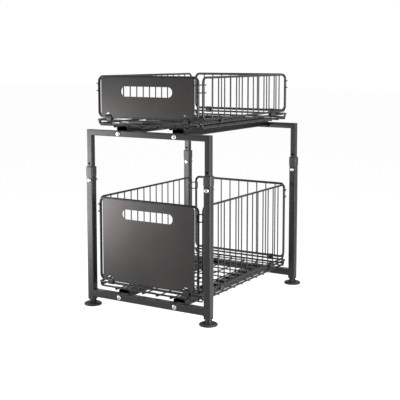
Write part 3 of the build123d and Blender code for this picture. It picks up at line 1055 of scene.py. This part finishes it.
class BASKET_OT_slides(bpy.types.Operator):
    """Channels, ball cages with their balls, and moving rails."""

    bl_idname = "basket.slides"
    bl_label = "Ball slides"

    def cage(self, name):
        """A cage's sheet as it is packed, with its balls made anew as finer spheres."""
        sheet = merged_mesh(name)
        found = solids_of(sheet)
        longest = max(b.y - a.y for a, b, _ in found)
        balls = [solid for solid in found if solid[1].y - solid[0].y < longest / 2]
        shape = bmesh.new()
        shape.from_mesh(sheet)
        shape.verts.ensure_lookup_table()
        loose = [shape.verts[i] for _, _, group in balls for i in group]
        bmesh.ops.delete(shape, geom=loose, context="VERTS")
        shape.to_mesh(sheet)
        shape.free()
        points = [(a + b) / 2 for a, b, _ in balls]
        radius = (balls[0][1].y - balls[0][0].y) / 2
        inputs = {"Radius": radius, "Finish": finish("ball_steel")}
        rolling = grown(holder_of(points), tree_named("Slide balls", ball_tree), inputs)
        return joined(name, [finished(sheet, finish("slide_steel")), rolling])

    def execute(self, context):
        for tier in TIERS:
            for side in SIDES:
                for part in ("_channel_", "_rail_"):
                    plain_piece(tier + part + side, "slide_steel")
                name = tier + "_cage_" + side
                placed(name, self.cage(name))
        return {"FINISHED"}


class BASKET_OT_bases(bpy.types.Operator):
    """Base wires and floors of the baskets, with the welds that join them."""

    bl_idname = "basket.bases"
    bl_label = "Basket bases and floors"

    def execute(self, context):
        sizes = context.scene.basket_sizes
        bead = (sizes.bead_width, sizes.bead_height)
        for tier in TIERS:
            name = tier + "_floor"
            mesh = merged_mesh(name)
            crossing = []
            running = []
            for low, high, _ in solids_of(mesh):
                if high.x - low.x > high.y - low.y:
                    crossing.append((low.y + high.y) / 2)
                    height = low.z
                    reach = high.x - CROSS_END
                else:
                    running += [low.x + FLOOR_WIRE / 2, high.x - FLOOR_WIRE / 2]
            points = [(x, y, height) for x in running for y in crossing]
            welded_piece(name, mesh, points, *bead, "wire_coat")
            name = tier + "_base"
            points = [(x, y, height + FLOOR_WIRE) for y in crossing for x in (-reach, reach)]
            welded_piece(name, merged_mesh(name), points, *bead, "wire_coat")
        return {"FINISHED"}


class BASKET_OT_wire_panels(bpy.types.Operator):
    """Side and rear panels, with the spot welds at the ends of their upright wires."""

    bl_idname = "basket.wire_panels"
    bl_label = "Wire panels"

    def drawn_forward(self, mesh, shift):
        """Bring a side panel's front end close to the front panel's wire; its hook shortens."""
        ring_start, ring_end = 150 * MM, 166 * MM
        hook_start, hook_end = 178.4 * MM, 186 * MM
        for vertex in mesh.vertices:
            depth = -vertex.co.y
            at_end = ramp(depth, ring_start, ring_end)
            at_hook = ramp(depth, hook_start, hook_end)
            vertex.co.y -= shift * (at_end - at_hook)
        return mesh

    def weld_points(self, places, low, high, inset):
        """The two ends of each upright wire, this far inside the panel's edges."""
        return [(x, y, z) for x, y in places for z in (high.z - inset, low.z + inset)]

    def execute(self, context):
        sizes = context.scene.basket_sizes
        bead = (sizes.bead_width, sizes.bead_height)
        for tier in TIERS:
            name = tier + "_rear_panel"
            low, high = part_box(name)
            inset = 0.95 * (high.y - low.y)  # at the inner side of the ring's wire
            places = [(x, (low.y + high.y) / 2) for x in spread(REAR_UPRIGHTS, REAR_PITCH)]
            points = self.weld_points(places, low, high, inset)
            welded_piece(name, merged_mesh(name), points, *bead, "wire_coat")
            for side, x in zip(SIDES, (-SIDE_X, SIDE_X)):
                name = tier + "_side_" + side
                low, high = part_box(name)
                places = [(x, y) for y in spread(SIDE_UPRIGHTS, SIDE_PITCH)]
                points = self.weld_points(places, low, high, SIDE_EDGE)
                mesh = self.drawn_forward(merged_mesh(name), sizes.grip_shift)
                welded_piece(name, mesh, points, *bead, "wire_coat")
        return {"FINISHED"}


class BASKET_OT_front_panels(bpy.types.Operator):
    """Front panels: frame wires and pressed plates with a hand slot."""

    bl_idname = "basket.front_panels"
    bl_label = "Front panels"

    def execute(self, context):
        for tier in TIERS:
            plain_piece(tier + "_front_wire", "wire_coat")
            plain_piece(tier + "_front_plate", "plate_coat")
        return {"FINISHED"}


class BASKET_OT_hinge_straps(bpy.types.Operator):
    """Folded straps that hang the panels on the base wires."""

    bl_idname = "basket.hinge_straps"
    bl_label = "Hinge straps"

    def execute(self, context):
        for tier in TIERS:
            plain_piece(tier + "_hinge_straps", "frame_coat")
        return {"FINISHED"}


class BASKET_OT_stage(bpy.types.Operator):
    """Floor, world, soft lamps and the camera of the photograph."""

    bl_idname = "basket.stage"
    bl_label = "Stage"

    def pale_floor(self, stage):
        """A wide floor that shows white and keeps the object's shadow."""
        half = 12.0  # its edge stays out of every view
        glow_level = 0.88  # with the lamps' light it makes the floor white
        mesh = bpy.data.meshes.new("studio_floor")
        corners = [(-half, -half, 0), (half, -half, 0), (half, half, 0), (-half, half, 0)]
        mesh.from_pydata(corners, [], [(0, 1, 2, 3)])
        floor = bpy.data.objects.new("studio_floor", mesh)
        bpy.context.scene.collection.objects.link(floor)
        material, tree, _ = new_finish("Pale studio floor")
        lift = node(
            tree,
            "ShaderNodeMath",
            {"operation": "MULTIPLY", 1: glow_level},
            {0: seen_share(tree)},
        )
        matt = node(tree, "ShaderNodeBsdfDiffuse", {"Color": tuple(stage.floor)})
        glow = node(tree, "ShaderNodeEmission", {"Color": WHITE}, {"Strength": lift.outputs[0]})
        both = node(tree, "ShaderNodeAddShader", links={0: matt.outputs[0], 1: glow.outputs[0]})
        node(tree, "ShaderNodeOutputMaterial", links={"Surface": both.outputs[0]})
        mesh.materials.append(material)

    def white_world(self, stage):
        """White where it is seen or mirrored, a plain level where it lights."""
        world = bpy.data.worlds.new("Studio")
        bpy.context.scene.world = world
        world.use_nodes = True
        tree = world.node_tree
        tree.nodes.clear()
        level = node(
            tree,
            "ShaderNodeMapRange",
            {"To Min": stage.ambient, "To Max": 1.0},
            {"Value": seen_share(tree)},
        )
        light = node(tree, "ShaderNodeBackground", {"Color": WHITE}, {"Strength": level.outputs[0]})
        node(tree, "ShaderNodeOutputWorld", links={"Surface": light.outputs[0]})

    def soft_lamp(self, name, place, aim, width, height, power):
        """A rectangular softbox that looks at a point."""
        lamp = bpy.data.lights.new(name, "AREA")
        lamp.shape = "RECTANGLE"
        lamp.size = width
        lamp.size_y = height
        lamp.energy = power
        made = bpy.data.objects.new(name, lamp)
        bpy.context.scene.collection.objects.link(made)
        made.location = place
        made.rotation_mode = "QUATERNION"
        made.rotation_quaternion = (Vector(aim) - Vector(place)).to_track_quat("-Z", "Y")
        made.visible_camera = False

    def execute(self, context):
        scene = context.scene
        stage = scene.basket_stage
        self.pale_floor(stage)
        self.white_world(stage)
        self.soft_lamp(
            "Key softbox",
            place=(-0.65, -0.66, 0.14),
            aim=(0.0, 0.0, 0.25),
            width=0.32,
            height=0.44,
            power=stage.key_power,
        )
        self.soft_lamp(
            "Side softbox",
            place=(0.62, -0.17, 0.28),
            aim=(0.15, -0.17, 0.28),
            width=0.3,
            height=0.5,
            power=stage.side_power,
        )
        camera = bpy.data.objects.new("Photo camera", bpy.data.cameras.new("Photo camera"))
        scene.collection.objects.link(camera)
        camera.data.sensor_width = 36.0
        camera.data.lens = stage.lens
        camera.data.shift_y = stage.rise
        camera.location = stage.place
        camera.rotation_euler = (math.pi / 2 - stage.pitch, 0.0, stage.azimuth)
        scene.camera = camera
        scene.view_settings.view_transform = "Standard"
        return {"FINISHED"}


class BASKET_PT_panel(bpy.types.Panel):
    """Sidebar panel with the basket's pieces and settings."""

    bl_label = "Pull-out basket"
    bl_idname = "BASKET_PT_panel"
    bl_space_type = "VIEW_3D"
    bl_region_type = "UI"
    bl_category = "Basket"

    def draw(self, context):
        for operator in PIECES:
            self.layout.operator(operator.bl_idname)
        scene = context.scene
        for group in (scene.basket_finishes, scene.basket_sizes, scene.basket_stage):
            box = self.layout.box()
            for name in group.bl_rna.properties.keys():
                if name not in ("rna_type", "name"):
                    box.prop(group, name)


PIECES = (
    BASKET_OT_tube_frames,
    BASKET_OT_collars,
    BASKET_OT_height_bolts,
    BASKET_OT_rail_screws,
    BASKET_OT_feet,
    BASKET_OT_slides,
    BASKET_OT_bases,
    BASKET_OT_wire_panels,
    BASKET_OT_front_panels,
    BASKET_OT_hinge_straps,
    BASKET_OT_stage,
)
CLASSES = (BasketFinishes, BasketSizes, BasketStage) + PIECES + (BASKET_PT_panel,)


def register():
    for kind in CLASSES:
        bpy.utils.register_class(kind)
    bpy.types.Scene.basket_finishes = bpy.props.PointerProperty(type=BasketFinishes)
    bpy.types.Scene.basket_sizes = bpy.props.PointerProperty(type=BasketSizes)
    bpy.types.Scene.basket_stage = bpy.props.PointerProperty(type=BasketStage)


def unregister():
    del bpy.types.Scene.basket_stage
    del bpy.types.Scene.basket_sizes
    del bpy.types.Scene.basket_finishes
    for kind in reversed(CLASSES):
        bpy.utils.unregister_class(kind)


def main():
    """Make every piece and the stage."""
    register()
    bpy.ops.basket.tube_frames()
    bpy.ops.basket.collars()
    bpy.ops.basket.height_bolts()
    bpy.ops.basket.rail_screws()
    bpy.ops.basket.feet()
    bpy.ops.basket.slides()
    bpy.ops.basket.bases()
    bpy.ops.basket.wire_panels()
    bpy.ops.basket.front_panels()
    bpy.ops.basket.hinge_straps()
    bpy.ops.basket.stage()


if __name__ == "__main__":
    main()
